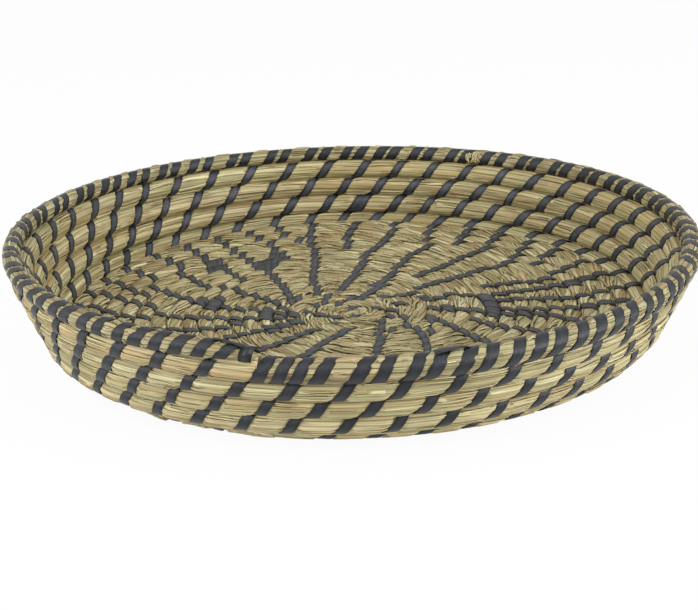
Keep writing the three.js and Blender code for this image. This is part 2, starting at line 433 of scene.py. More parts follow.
def uvParts(tree, name):
    uv = addNode(tree, "ShaderNodeUVMap", uv_map=name).outputs["UV"]
    return addNode(tree, "ShaderNodeSeparateXYZ", {0: uv}).outputs


# A value that runs from one number to another while the given one runs from low to high
def ranged(tree, value, low, high, first=0.0, last=1.0, **settings):
    inputs = {0: value, 1: low, 2: high, 3: first, 4: last}
    return addNode(tree, "ShaderNodeMapRange", inputs, **settings).outputs[0]


def cloudy(tree, place, scale, detail, roughness=0.5):
    inputs = {"Vector": place, "Scale": scale, "Detail": detail, "Roughness": roughness}
    return addNode(tree, "ShaderNodeTexNoise", inputs).outputs["Fac"]


# Noise with its own factor along each of the given values, then its detail and roughness
def grain(tree, values, factors, detail, roughness=0.5):
    place = vector(tree, *[times(tree, value, factor) for value, factor in zip(values, factors)])
    return cloudy(tree, place, 1.0, detail, roughness)


def mixColour(tree, share, first, second, blend="MIX"):
    inputs = {0: share, 6: first, 7: second}
    return addNode(tree, "ShaderNodeMix", inputs, data_type="RGBA", blend_type=blend).outputs[2]


# Grass material: straws lie side by side round the bundle. The UV map counts straws across it and
# metres along it.
grassTones = {
    "straw": (0.44, 0.325, 0.135, 1),
    "pale": (1.0, 0.90, 0.53, 1),
    "green": (0.50, 0.49, 0.21, 1),
    "orange": (0.66, 0.42, 0.17, 1),
    "brown": (0.30, 0.18, 0.08, 1),
    # gap: the line where straws meet, partly their own darker edges and partly painted crease shade
    "gap": (0.045, 0.03, 0.015, 1),
    "strawLength": 0.17,
    "laneShift": 7.3,  # straw lengths by which neighbours may be out of step
    "greenShare": 0.6,
    "orangeRange": (0.6, 1.0, 0.0, 0.5),
    "streakGrain": ((5.0, 22.0, 3.1), 4.0, 0.65),  # across a straw, along it and from straw to straw
    "streakRange": (0.3, 0.7),
    "blotchGrain": ((3.7, 30.0), 2.0),
    "brownRange": (0.5, 0.78),
    "edgeRange": (0.36, 0.5),  # from a straw's middle, in straws
    "faintRange": (0.35, 0.65, 1.3, 0.25),
    "roughRange": (0.2, 0.8, 0.62, 0.42),
    "reliefDepth": 0.0004,
    "gloss": 0.4,
}


def makeStrawGroup():
    tree = bpy.data.node_groups.new("grassStraws", "ShaderNodeTree")
    for label in ("Straws Around", "Gap Darkness", "Streaks", "Brown Share", "Lightness"):
        tree.interface.new_socket(label, in_out="INPUT", socket_type="NodeSocketFloat")
    for label, kind in (("Color", "Color"), ("Roughness", "Float"), ("Height", "Float")):
        tree.interface.new_socket(label, in_out="OUTPUT", socket_type="NodeSocket" + kind)
    given = tree.nodes.new("NodeGroupInput").outputs
    split = uvParts(tree, "straws")
    lane = maths(tree, "FLOORED_MODULO", maths(tree, "FLOOR", split[0]), given["Straws Around"])
    laneNoise = addNode(tree, "ShaderNodeTexWhiteNoise", {"W": lane}, noise_dimensions="1D").outputs["Value"]
    along = maths(tree, "DIVIDE", split[1], grassTones["strawLength"])
    straw = maths(tree, "FLOOR", maths(tree, "ADD", along, times(tree, laneNoise, grassTones["laneShift"])))
    # Each straw has its own tone, streaks run its length and brown blotches lie on it
    which = {"Vector": vector(tree, lane, straw)}
    tone = addNode(tree, "ShaderNodeTexWhiteNoise", which, noise_dimensions="2D").outputs["Color"]
    toneParts = addNode(tree, "ShaderNodeSeparateColor", {0: tone}).outputs
    streak = grain(tree, (split[0], split[1], straw), *grassTones["streakGrain"])
    blotch = grain(tree, (lane, split[1]), *grassTones["blotchGrain"])
    colour = grassTones["straw"]
    for name, share in (
        ("pale", toneParts[0]),
        ("green", times(tree, toneParts[1], grassTones["greenShare"])),
        ("orange", ranged(tree, toneParts[2], *grassTones["orangeRange"])),
        ("brown", times(tree, ranged(tree, blotch, *grassTones["brownRange"]), given["Brown Share"])),
    ):
        colour = mixColour(tree, share, colour, grassTones[name])
    shade = maths(tree, "SUBTRACT", 1.0, ranged(tree, streak, *grassTones["streakRange"]))
    dim = maths(tree, "SUBTRACT", 1.0, times(tree, shade, given["Streaks"]))
    dim = times(tree, dim, given["Lightness"])
    grey = addNode(tree, "ShaderNodeCombineColor", {0: dim, 1: dim, 2: dim}).outputs[0]
    colour = mixColour(tree, 1.0, colour, grey, "MULTIPLY")
    # A dark line, fainter in places, where two straws meet: partly the straws' own darker edges and partly
    # painted shade in the crease between them
    fromMiddle = maths(tree, "ABSOLUTE", maths(tree, "SUBTRACT", maths(tree, "FRACT", split[0]), 0.5))
    edge = ranged(tree, fromMiddle, *grassTones["edgeRange"])
    faint = ranged(tree, blotch, *grassTones["faintRange"])
    lines = times(tree, times(tree, edge, given["Gap Darkness"]), faint)
    out = tree.nodes.new("NodeGroupOutput").inputs
    feed(tree, out["Color"], mixColour(tree, lines, colour, grassTones["gap"]))
    feed(tree, out["Roughness"], ranged(tree, streak, *grassTones["roughRange"]))
    feed(tree, out["Height"], maths(tree, "SUBTRACT", times(tree, streak, 0.5), edge))
    return tree


strawGroup = makeStrawGroup()


def newMaterial(name):
    material = bpy.data.materials.new(name)
    material.use_nodes = True
    tree = material.node_tree
    return material, tree, tree.nodes["Principled BSDF"]


def finishMaterial(tree, shader, colour, roughness, height, strength, look):
    relief = {"Height": height, "Strength": strength, "Distance": look["reliefDepth"]}
    feed(tree, shader.inputs["Base Color"], colour)
    feed(tree, shader.inputs["Roughness"], roughness)
    feed(tree, shader.inputs["Normal"], addNode(tree, "ShaderNodeBump", relief).outputs["Normal"])
    shader.inputs["Specular IOR Level"].default_value = look["gloss"]


# Straws around, gap darkness (of the line where straws meet, partly painted crease shade), streaks, brown
# share, lightness and strength of the relief. A loose straw counts as a lane of its own, so the loose ones
# have many lanes.
grassLooks = {
    "wallGrass": (12, 0.5, 0.65, 0.55, 0.9, 0.8),
    # The rim's grass and its loose straws are darker than the wall's, with stronger streaks and lines:
    # painted shade on the top of the same bundle
    "rimGrass": (12, 0.6, 0.8, 0.7, 0.765, 0.9),
    "floorGrass": (8, 0.65, 0.6, 0.9, 0.86, 1.0),
    "looseGrass": (5000, 0.45, 0.55, 0.75, 0.87, 0.8),
    "looseRimGrass": (5000, 0.5, 0.75, 0.85, 0.77, 0.8),
    "looseFloorGrass": (5000, 0.6, 0.5, 0.85, 0.86, 0.8),
    "cutGrass": (5000, 0.4, 0.5, 1.0, 0.95, 0.8),
}


def grassMaterial(name):
    material, tree, shader = newMaterial(name)
    straws = tree.nodes.new("ShaderNodeGroup")
    straws.node_tree = strawGroup
    *values, strength = grassLooks[name]
    for socket, value in zip(straws.inputs, values):
        socket.default_value = value
    colour, roughness, height = straws.outputs[:3]
    finishMaterial(tree, shader, colour, roughness, height, strength, grassTones)
    return material


# Strip material: dark, satin and faintly blue, with fibres along it and a painted sheen along its middle, so
# that its edges are darker
stripTones = {
    "satinStrip": {"dark": (0.003, 0.004, 0.005, 1), "light": (0.031, 0.034, 0.047, 1)},
    # The inside strokes are the same strip as the outside ones; their copy is painted lighter, as painted
    # light and sheen on the tray's inner side
    "insideStripPaintedLighter": {"dark": (0.006, 0.007, 0.009, 1), "light": (0.12, 0.13, 0.16, 1)},
    # The floor copy of the strip is lighter than the outside one
    "lighterFloorStrip": {"dark": (0.014, 0.016, 0.018, 1), "light": (0.135, 0.14, 0.158, 1)},
}
stripLook = {
    "fibreGrain": ((7.0, 1.4, 40.0), 5.0, 0.7),  # across, along and from strip to strip
    "fibreRange": (0.3, 0.7),
    "fibreShare": 0.6,
    "cloudGrain": (300.0, 3.0),
    "cloudRange": (0.35, 0.7),
    "cloudShare": 0.3,
    "toneRange": (0.45, 0.4),  # of the darkest strip, and how much more the lightest has
    "paintedSheenRange": (0.1, 0.48, 1.0, 0.05),
    "roughRange": (0.0, 1.0, 0.3, 0.5),
    "reliefStrength": 0.5,
    "reliefDepth": 0.0003,
    "gloss": 0.35,
}


def stripMaterial(name):
    material, tree, shader = newMaterial(name)
    tones = stripTones[name]
    split = uvParts(tree, "strip")
    place = tree.nodes.new("ShaderNodeTexCoord").outputs["Object"]
    stripId = addNode(tree, "ShaderNodeAttribute", attribute_name="stripTone").outputs["Fac"]
    fibre = grain(tree, (split[0], split[1], stripId), *stripLook["fibreGrain"])
    fibre = ranged(tree, fibre, *stripLook["fibreRange"])
    cloud = ranged(tree, cloudy(tree, place, *stripLook["cloudGrain"]), *stripLook["cloudRange"])
    # Painted sheen: the strip is lighter along its middle and darker towards its edges
    fromMiddle = maths(tree, "ABSOLUTE", maths(tree, "SUBTRACT", split[0], 0.5))
    middle = ranged(tree, fromMiddle, *stripLook["paintedSheenRange"], interpolation_type="SMOOTHSTEP")
    fibreLight = times(tree, fibre, stripLook["fibreShare"])
    lightness = maths(tree, "ADD", fibreLight, times(tree, cloud, stripLook["cloudShare"]))
    darkest, more = stripLook["toneRange"]
    lightness = times(tree, lightness, maths(tree, "ADD", darkest, times(tree, stripId, more)))
    colour = mixColour(tree, times(tree, lightness, middle), tones["dark"], tones["light"])
    roughness = ranged(tree, fibre, *stripLook["roughRange"])
    finishMaterial(tree, shader, colour, roughness, fibre, stripLook["reliefStrength"], stripLook)
    return material


grass = {name: grassMaterial(name) for name in grassLooks}
strips = {name: stripMaterial(name) for name in stripTones}
print("materials:", *grass, *strips)


# Faces of a closed tube, ring by ring, and the ring and place of every corner of its sides
def tubeFaces(rings, around, flipped=False):
    faces, corners = [], []
    for ring in range(rings - 1):
        for place in range(around):
            face = [(ring, place), (ring, place + 1), (ring + 1, place + 1), (ring + 1, place)]
            if flipped:
                face[1:] = face[:0:-1]
            faces.append([level * around + spot % around for level, spot in face])
            corners += face
    ends = [list(range(around))[::-1], [(rings - 1) * around + place for place in range(around)]]
    return faces + [end[::-1] if flipped else end for end in ends], corners


# A piece has a material and its points in millimetres. Without one it is a stroke of unit size.
def newPiece(name, points, faces, uvName, uvs, material=None):
    mesh = bpy.data.meshes.new(name)
    if material:
        points[:, 2] = np.maximum(points[:, 2], bundleShape["lowest"])
        points = (points * mm).tolist()
        mesh.materials.append(material)
    mesh.from_pydata(points, [], faces)
    layer = mesh.uv_layers.new(name=uvName)
    layer.data.foreach_set("uv", np.asarray(uvs, np.float32).ravel())
    mesh.polygons.foreach_set("use_smooth", [True] * len(mesh.polygons))
    print("made", name, len(mesh.polygons), "faces")
    return addObject(name, mesh)


# Bundles: straws round a full section, drawn in by each strip and swelling between them
wallBundle = {
    "kinds": ("outside", "inside"),  # of strokes: below the section's middle and above it
    "grass": "wallGrass",
    "loose": "looseGrass",
    "straws": 12,
    "around": 48,
    "ringSpacing": 3.2,
    "ridge": 0.45,
    "unevenStraws": 0.3,
    "unevenLength": 40.0,
    "pinch": 1.15,
    "pinchWidth": 2.7,  # a little under half the strip
    "pinchSlope": 2.6,
    "press": 0.5,  # into the next turn
    "drift": 2.0,
    "driftLength": 90.0,
    "twist": 0.004,  # straws that pass the side of the bundle in a millimetre
    "squareness": 2.4,
    "endLength": 7.0,
    "seed": 11,
}
rimBundle = dict(
    wallBundle, kinds=("rim",), grass="rimGrass", loose="looseRimGrass", pinch=1.0, pinchSlope=2.0,
    endLength=4.0, seed=15,
)
floorBundle = dict(
    wallBundle, kinds=("underside", "top"), grass="floorGrass", loose="looseFloorGrass", straws=10,
    around=36, ringSpacing=3.4, ridge=0.6, unevenStraws=0.5, pinch=1.2, pinchWidth=2.3, pinchSlope=3.4,
    press=0.7, drift=5.0, twist=0.09, squareness=3.0, seed=12,
)
bundleShape = {
    "sunk": 0.3,  # so that strips and loose straws lie inside the solids' outline
    "lowest": 0.05,  # above the table
    "driftStep": 0.35,
    "ridgeMiddle": 0.75,
    "besideShare": 0.45,  # sine of the section's angle up to which it lies against the turns beside it
    "boundRelief": 0.8,  # share of a straw's relief that a strip presses flat
    "leastFull": 0.02,
    "edgePress": 0.9,  # extra press of the turns at the floor's edge
    "edgeTurn": 0.3,
    "edgeReach": 1.2,
}


# Unit section of a coil: between a circle (2) and a square. Angle 0 points to the next turn, a quarter
# turn to the inside or top of the tray.
def sectionPoint(angle, squareness):
    power = 2 / squareness
    cosine, sine = np.cos(angle), np.sin(angle)
    return np.sign(cosine) * np.abs(cosine) ** power, np.sign(sine) * np.abs(sine) ** power


# Strokes: the stretches of a strip that show. Each crosses the section from one angle to another and
# moves along the bundle by its slope, in millimetres a radian, and by its lean, in millimetres from the
# section's middle to its side.
strokes = {
    "outside": {"angles": (160, 380), "slope": 4.1, "lean": 0.0},
    "inside": {"angles": (-20, 200), "slope": 4.1, "lean": 0.0},
    "underside": {"angles": (160, 380), "slope": 0.0, "lean": 1.1},
    "top": {"angles": (-20, 200), "slope": 0.0, "lean": -3.0},
    "rim": {"angles": (160, 560), "slope": 3.0, "lean": 0.0},
}
arcAngles = np.linspace(-fullTurn, 2 * fullTurn, 6001)
arcPoints = np.stack(sectionPoint(arcAngles, wallBundle["squareness"]), 1)
arcLengths = np.concatenate([[0], np.cumsum(np.linalg.norm(np.diff(arcPoints, axis=0), axis=1))])
arcLengths = arcLengths / arcLengths[-1] * 3 * fullTurn - fullTurn


# Millimetres along the bundle from the middle of a stroke to its place at an angle
def slantAt(kind, angle):
    stroke = strokes[kind]
    middle = math.radians(sum(stroke["angles"]) / 2)
    across = sectionPoint(angle, wallBundle["squareness"])[0]
    return stroke["slope"] * (np.interp(angle, arcAngles, arcLengths) - middle) + stroke["lean"] * across


# Distance along the bundle from each point of its surface to the nearest strip
def gapToStrip(lengths, angles, kinds):
    lengths, angles = np.broadcast_arrays(lengths, angles % fullTurn)
    gaps = np.full(lengths.shape, np.inf)
    below = angles >= math.pi
    for kind in kinds:
        here = np.full(below.shape, True) if kind == "rim" else below == (kind == kinds[0])
        angle = np.where(below | (kind != "rim"), angles, angles + fullTurn)
        places = np.sort(lengthAt(pinchTurns[kind]))
        wanted = lengths - slantAt(kind, angle)
        after = np.clip(np.searchsorted(places, wanted), 1, len(places) - 1)
        gap = np.minimum(np.abs(wanted - places[after - 1]), np.abs(places[after] - wanted))
        gaps = np.where(here, gap, gaps)
    return gaps


def sampled(table, row, place):
    low = np.floor(place).astype(int)
    share = smooth(place - low)
    low = np.clip(low, 0, table.shape[1] - 2)
    return table[row, low] * (1 - share) + table[row, low + 1] * share


def makeBundle(name, firstTurn, lastTurn, look):
    random = np.random.default_rng(look["seed"])
    around, straws = look["around"], look["straws"]
    firstLength, lastLength = lengthAt(firstTurn), lengthAt(lastTurn)
    rings = int((lastLength - firstLength) / look["ringSpacing"]) + 1
    lengths = np.linspace(firstLength, lastLength, rings)
    turns = turnAtLength(lengths)
    middle, along, side, up, halfWidth, halfDepth = bundleFrame(turns)
    angles = math.pi + np.arange(around) / around * fullTurn
    # The straws wander round the bundle, and each swells and thins by itself
    driftSteps = random.normal(0, 1, int(lastLength / look["driftLength"]) + 5)
    drift = np.cumsum(driftSteps) * bundleShape["driftStep"] * look["drift"] / 2
    wander = np.interp(lengths, np.arange(len(drift)) * look["driftLength"], drift)
    wander = wander + look["twist"] * (lengths - firstLength)
    lanes = np.arange(around + 1) / around * straws
    lane = lanes[None, :] + wander[:, None]
    strawRow = np.floor(lane[:, :-1]).astype(int) % straws
    across = lane[:, :-1] - np.floor(lane[:, :-1])
    ridge = np.sqrt(np.clip(1 - (2 * across - 1) ** 2, 0, 1)) - bundleShape["ridgeMiddle"]
    ridge = look["ridge"] * ridge
    heights = random.normal(0, 1, (straws, int(lastLength / look["unevenLength"]) + 7))
    place = np.repeat(lengths[:, None] / look["unevenLength"], around, 1)
    uneven = look["unevenStraws"] * sampled(heights, strawRow, place)
    # The strips draw the bundle in, but not where it lies against the turns beside it
    gap = gapToStrip(lengths[:, None], angles[None, :], look["kinds"])
    free = smooth(np.abs(np.sin(angles)) / bundleShape["besideShare"])
    if "rim" in look["kinds"]:
        free = np.where(np.cos(angles) > 0, 1.0, free)
    bound = (1 - smooth((gap - look["pinchWidth"]) / look["pinchSlope"])) * free
    offset = (ridge + uneven) * (1 - bundleShape["boundRelief"] * bound) - look["pinch"] * bound
    # Rows meet closely at the floor's edge, and the bundle's two ends are rounded off
    atEdge = smooth(bundleShape["edgeReach"] - np.abs(turns - bundleShape["edgeTurn"]))
    press = (look["press"] + bundleShape["edgePress"] * atEdge)[:, None] * (1 - free)
    fromEnd = np.minimum(lengths + 1, lengthAlong[-1] - lengths) / look["endLength"]
    full = 1 - (1 - np.clip(fromEnd, 0, 1)) ** 2
    full = np.sqrt(np.clip(full, bundleShape["leastFull"], 1))[:, None]
    x, y = sectionPoint(angles, look["squareness"])
    points = (
        middle[:, None, :]
        + side[:, None, :] * (full * (halfWidth[:, None] + press + offset) * x)[..., None]
        + up[:, None, :] * (full * (halfDepth[:, None] - bundleShape["sunk"] + offset) * y)[..., None]
    )
    faces, corners = tubeFaces(rings, around, flipped=True)
    ring, place = np.array(corners).T
    uvs = np.stack([lane[ring, place], lengths[ring] * mm], 1)
    firstUv = np.stack([lanes[:-1], np.full(around, lengths[0] * mm)], 1)
    lastUv = np.stack([lanes[:-1][::-1], np.full(around, lengths[-1] * mm)], 1)
    uvs = np.concatenate([uvs, firstUv, lastUv])
    return newPiece(name, points.reshape(-1, 3), faces, "straws", uvs, grass[look["grass"]])


skinStart = turnAtRadius(4.5)
midFloor = turnAtRadius(110.0)
makeBundle("floorBundleInner", skinStart, midFloor, floorBundle)
makeBundle("floorBundleOuter", midFloor, 0.0, floorBundle)
makeBundle("wallBundle", 0.0, rimStart, wallBundle)
makeBundle("rimBundle", rimStart, tray["wallTurns"], rimBundle)

# The bundle's first end is bent down into the middle of the spiral and closes it
startKnot = {
    "radius": 6.4,
    "narrow": 0.9,
    "turned": 0.6,
    "height": 0.93,
    "flatness": 0.6,
    "shift": (-1.4, 1.0, 0.0),
    "around": 18,
    "rings": 11,
    "straws": 6,
    "uvStep": 0.0012,
}


def makeStartKnot(look):
    around, rings, straws = look["around"], look["rings"], look["straws"]
    halfDepth = tray["centreWidth"] / 2 * tray["bundleDepth"]
    centre = handShaped(np.array([0.0, 0.0, halfDepth])) + look["shift"]
    along = np.linspace(0, math.pi, rings + 2)[1:-1]
    angles = np.arange(around) / around * fullTurn
    length = (-np.cos(along)[:, None] * look["radius"] + 0 * angles).ravel()
    across = (np.sin(along)[:, None] * np.cos(angles) * look["radius"] * look["narrow"]).ravel()
    halfHeight = halfDepth * look["height"]
    height = (np.sin(along)[:, None] ** look["flatness"] * np.sin(angles) * halfHeight).ravel()
    cosine, sine = math.cos(look["turned"]), math.sin(look["turned"])
    points = np.stack([length * cosine - across * sine, length * sine + across * cosine, height], 1) + centre
    faces, corners = tubeFaces(rings, around)
    uvs = [(place / around * straws, ring * look["uvStep"]) for ring, place in corners]
    uvs += [(place / around * straws, 0.0) for place in range(2 * around)]
    return newPiece("startKnot", points, faces, "straws", uvs, grass["floorGrass"])


makeStartKnot(startKnot)

# Straws that lie on a bundle by themselves, at a slant to it, and dive under its strips. Lengths and
# widths are in millimetres, angles in degrees round the section, slants in radians a millimetre.
looseOnFloor = {"bundle": floorBundle, "turns": (skinStart, 0.0)}
looseOnWall = {
    "bundle": wallBundle,
    "turns": (0.0, rimStart),
    "length": (18, 60),
    "slant": (-0.008, 0.008),
    "lift": 0.22,
    "pinch": 1.25,
    "rings": 15,
}
looseStraws = {
    "floorStraws": dict(
        looseOnFloor, count=1650, angles=(15, 165), length=(12, 30), width=(1.3, 3.1),
        slant=(-0.085, -0.025), lift=0.55, pinch=1.3, rings=9, seed=21,
    ),
    "centreStraws": dict(
        looseOnFloor, turns=(skinStart, turnAtRadius(52.0)), count=330, angles=(10, 170), length=(6, 18),
        width=(1.2, 3.0), slant=(-0.16, 0.05), lift=1.0, pinch=1.6, rings=7, seed=25,
    ),
    "outerStraws": dict(
        looseOnWall, count=850, angles=(195, 345), width=(0.8, 1.9), slant=(-0.006, 0.006), seed=22,
    ),
    "innerStraws": dict(
        looseOnWall, count=480, angles=(15, 165), width=(1.0, 2.6), lift=0.18, seed=23,
    ),
    "rimStraws": dict(
        looseOnWall, bundle=rimBundle, turns=(rimStart + 0.013, tray["wallTurns"] - 0.014), count=420,
        angles=(190, 510), length=(16, 46), width=(0.9, 2.0), pinch=1.6, rings=13, seed=24,
    ),
}
strawShape = {
    "ringGap": 0.01,  # at least, between the rings of a straw that is cut off at an end
    "bend": (-0.06, 0.06),
    "liftShare": (0.4, 1.0),
    "boundWithin": 3.0,  # of a strip's middle
    "boundSlope": 2.4,
    "dive": 1.7,  # of a straw's ends, in lifts
    "fullness": 1.02,
    "thick": 0.28,
    "corners": (0.04, 0.5, 0.96, 0.5),  # where a straw's corners lie across its lane of the UV map
}


# Point of the bundle's skin at a length and an angle, raised by some millimetres, and the way out
def skinAt(lengths, angles, raised, squareness):
    middle, along, side, up, halfWidth, halfDepth = bundleFrame(turnAtLength(lengths))
    x, y = sectionPoint(angles, squareness)
    beside = (halfWidth + raised) * x
    above = (halfDepth - bundleShape["sunk"] + raised) * y
    points = middle + side * beside[:, None] + up * above[:, None]
    out = side * (np.sign(x) * np.abs(x) ** (squareness - 1))[:, None]
    out = out + up * (np.sign(y) * np.abs(y) ** (squareness - 1))[:, None]
    return points, unit(out)


# Flat four-sided straws or strips, each swept over the skin along its own row of lengths and angles
def sweep(name, lengths, angles, raised, half, thick, squareness, uvName, material):
    count, rings = lengths.shape
    points, out = skinAt(lengths.ravel(), angles.ravel(), raised.ravel(), squareness)
    points, out = points.reshape(count, rings, 3), out.reshape(count, rings, 3)
    across = unit(np.cross(np.gradient(points, axis=1), out))
    beside, above = across * half[..., None], out * thick
    corners = np.stack([points - beside, points + above, points + beside, points - above], 2)
    ring = np.arange(count * rings).reshape(count, rings)[:, :-1].ravel()
    row = np.repeat(np.arange(count), rings - 1)
    flat = lengths.ravel() * mm
    shares = strawShape["corners"]
    faces, uvs = [], []
    for place in range(4):
        after = (place + 1) % 4
        one, other = ring * 4 + place, ring * 4 + after
        faces.append(np.stack([one, other, other + 4, one + 4], 1))
        first, second = row + shares[place], row + shares[after]
        near, far = flat[ring], flat[ring + 1]
        pairs = ((first, near), (second, near), (second, far), (first, far))
        uvs.append(np.stack([np.stack(pair, 1) for pair in pairs], 1))
    starts = np.arange(count) * rings * 4
    faces.append(starts[:, None] + np.arange(4)[::-1])
    faces.append(starts[:, None] + (rings - 1) * 4 + np.arange(4))
    caps = np.zeros((2 * count, 4, 2))
    caps[..., 0] = (np.arange(2 * count) % count)[:, None] + 0.5
    faces, uvs = np.concatenate(faces).tolist(), np.concatenate(uvs + [caps])
    return newPiece(name, corners.reshape(-1, 3), faces, uvName, uvs, material)


def layStraws(name, look):
    random = np.random.default_rng(look["seed"])
    count, rings, bundle = look["count"], look["rings"], look["bundle"]
    first, last = (lengthAt(turn) for turn in look["turns"])
    share = np.linspace(-1, 1, rings)[None, :]
    span = random.uniform(*look["length"], (count, 1))
    lengths = np.clip(random.uniform(first, last, (count, 1)) + share * span / 2, first + 1, last - 1)
    lengths += np.arange(rings)[None, :] * strawShape["ringGap"]
    angle = np.radians(random.uniform(*look["angles"], (count, 1)))
    angles = angle + random.uniform(*look["slant"], (count, 1)) * share * span / 2
    angles = angles + random.uniform(*strawShape["bend"], (count, 1)) * np.sin(share * 3)
    gap = gapToStrip(lengths, angles, bundle["kinds"]) - strawShape["boundWithin"]
    bound = 1 - smooth(gap / strawShape["boundSlope"])
    arch = 1 - strawShape["dive"] * share**6
    lift = look["lift"] * random.uniform(*strawShape["liftShare"], (count, 1))
    raised = lift * arch - look["pinch"] * bound
    narrowing = np.sqrt(strawShape["fullness"] - np.abs(share) ** 3)
    half = random.uniform(*look["width"], (count, 1)) / 2 * narrowing
    thick, material = strawShape["thick"], grass[bundle["loose"]]
    return sweep(name, lengths, angles, raised, half, thick, bundle["squareness"], "straws", material)


for name, look in looseStraws.items():
    layStraws(name, look)

# A tuft of cut straw ends that stands out of the rim's inner side, where a new bundle was laid in
cutTuft = {
    "turn": 4.464,
    "count": 34,
    "rings": 7,
    "spread": 4.6,
    "slant": 1.6,
    "angles": (418, 492),
    "uneven": 0.25,
    "reach": (0.35, 0.8),
    "rise": (0.8, 2.4),
    "width": (1.2, 2.2),
    "rounding": 0.8,
    "dive": 1.25,
    "sunk": 0.2,
    "fullness": 1.05,
    "thick": 0.35,
    "seed": 27,
}


def makeTuft(look):
    random = np.random.default_rng(look["seed"])
    share = np.linspace(-1, 1, look["rings"])[None, :]
    count, slant, uneven = look["count"], look["slant"], look["uneven"]
    place = random.uniform(-1, 1, (count, 1)) * look["spread"]
    lengths = lengthAt(look["turn"]) + place + share * random.uniform(-slant, slant, (count, 1))
    low, high = np.radians(look["angles"])
    middle = (low + high) / 2 + random.uniform(-uneven, uneven, (count, 1))
    angles = middle + share * ((high - low) / 2 * random.uniform(*look["reach"], (count, 1)))
    rounded = 1 - look["rounding"] * (place / look["spread"]) ** 2
    arch = 1 - look["dive"] * share**4
    raised = random.uniform(*look["rise"], (count, 1)) * rounded * arch - look["sunk"]
    half = random.uniform(*look["width"], (count, 1)) / 2 * np.sqrt(look["fullness"] - share**2)
    thick, squareness = look["thick"], rimBundle["squareness"]
    return sweep("cutTuft", lengths, angles, raised, half, thick, squareness, "straws", grass["cutGrass"])


makeTuft(cutTuft)

# Strips: one stroke is made flat to the section's unit size and set on every stitch by Geometry Nodes.
# Heights are in half coils from the coil's middle.
stripShape = {
    "base": 0.84,
    "edge": 0.935,
    "crown": 0.95,
    "beside": 0.06,  # more where it passes the side of the coil
    "stepsPerUv": 3,
    "widthSpread": 0.12,
    "waver": 0.00025,  # of the edges, in metres
    "waverScale": 130.0,
}
stripProfile = [
    (-0.5, "base"), (0.5, "base"), (0.5, "edge"), (0.3, "crown"), (-0.3, "crown"), (-0.5, "edge"),
]
# Kind of stroke, the bundle that it lies on, steps, width in millimetres, material, seed, tilt in radians
stripPieces = {
    "wallStripsOutside": ("outside", wallBundle, 14, 6.6, "satinStrip", 3, 0.05),
    "wallStripsInside": ("inside", wallBundle, 14, 6.8, "insideStripPaintedLighter", 13, 0.05),
    "floorStripsTop": ("top", floorBundle, 14, 5.6, "lighterFloorStrip", 23, 0.1),
    "floorStripsUnder": ("underside", floorBundle, 14, 5.6, "lighterFloorStrip", 43, 0.1),
    "rimStrips": ("rim", rimBundle, 28, 7.2, "satinStrip", 33, 0.02),
}


def makeStroke(kind, squareness, steps, width):
    ends = np.interp(np.radians(strokes[kind]["angles"]), arcAngles, arcLengths)
    vertices = []
    for angle in np.interp(np.linspace(ends[0], ends[1], steps + 1), arcLengths, arcAngles):
        x, y = sectionPoint(angle, squareness)
        for across, level in stripProfile:
            reach = stripShape[level]
            beside = reach if kind == "rim" and x > 0 else reach + stripShape["beside"]
            slanted = across * width + slantAt(kind, angle)
            vertices.append((slanted, float(x) * beside, -float(y) * reach))
    count = len(stripProfile)
    faces, corners = tubeFaces(steps + 1, count)
    perUv = stripShape["stepsPerUv"]
    uvs = [(stripProfile[place % count][0] + 0.5, step / perUv) for step, place in corners]
    uvs += [(0.5, 0)] * (2 * count)
    template = newPiece(kind + "Stroke", vertices, faces, "strip", uvs)
    mesh = template.data
    for edge in mesh.edges:
        first, second = (place % count for place in edge.vertices)
        edge.use_edge_sharp = first == second and stripProfile[first][1] != "crown"
    if mesh.polygons[0].normal.z * mesh.polygons[0].center.z > 0:
        mesh.flip_normals()
    return template


def randomFloat(tree, low, high, seed):
    node = addNode(tree, "FunctionNodeRandomValue", {"Seed": seed}, data_type="FLOAT")
    for label, value in (("Min", low), ("Max", high)):
        feed(tree, [s for s in node.inputs if s.name == label and s.type == "VALUE"][0], value)
    return [s for s in node.outputs if s.type == "VALUE" and s.enabled][0]


def vectorMaths(tree, operation, first, second):
    return addNode(tree, "ShaderNodeVectorMath", {0: first, 1: second}, operation=operation).outputs[0]


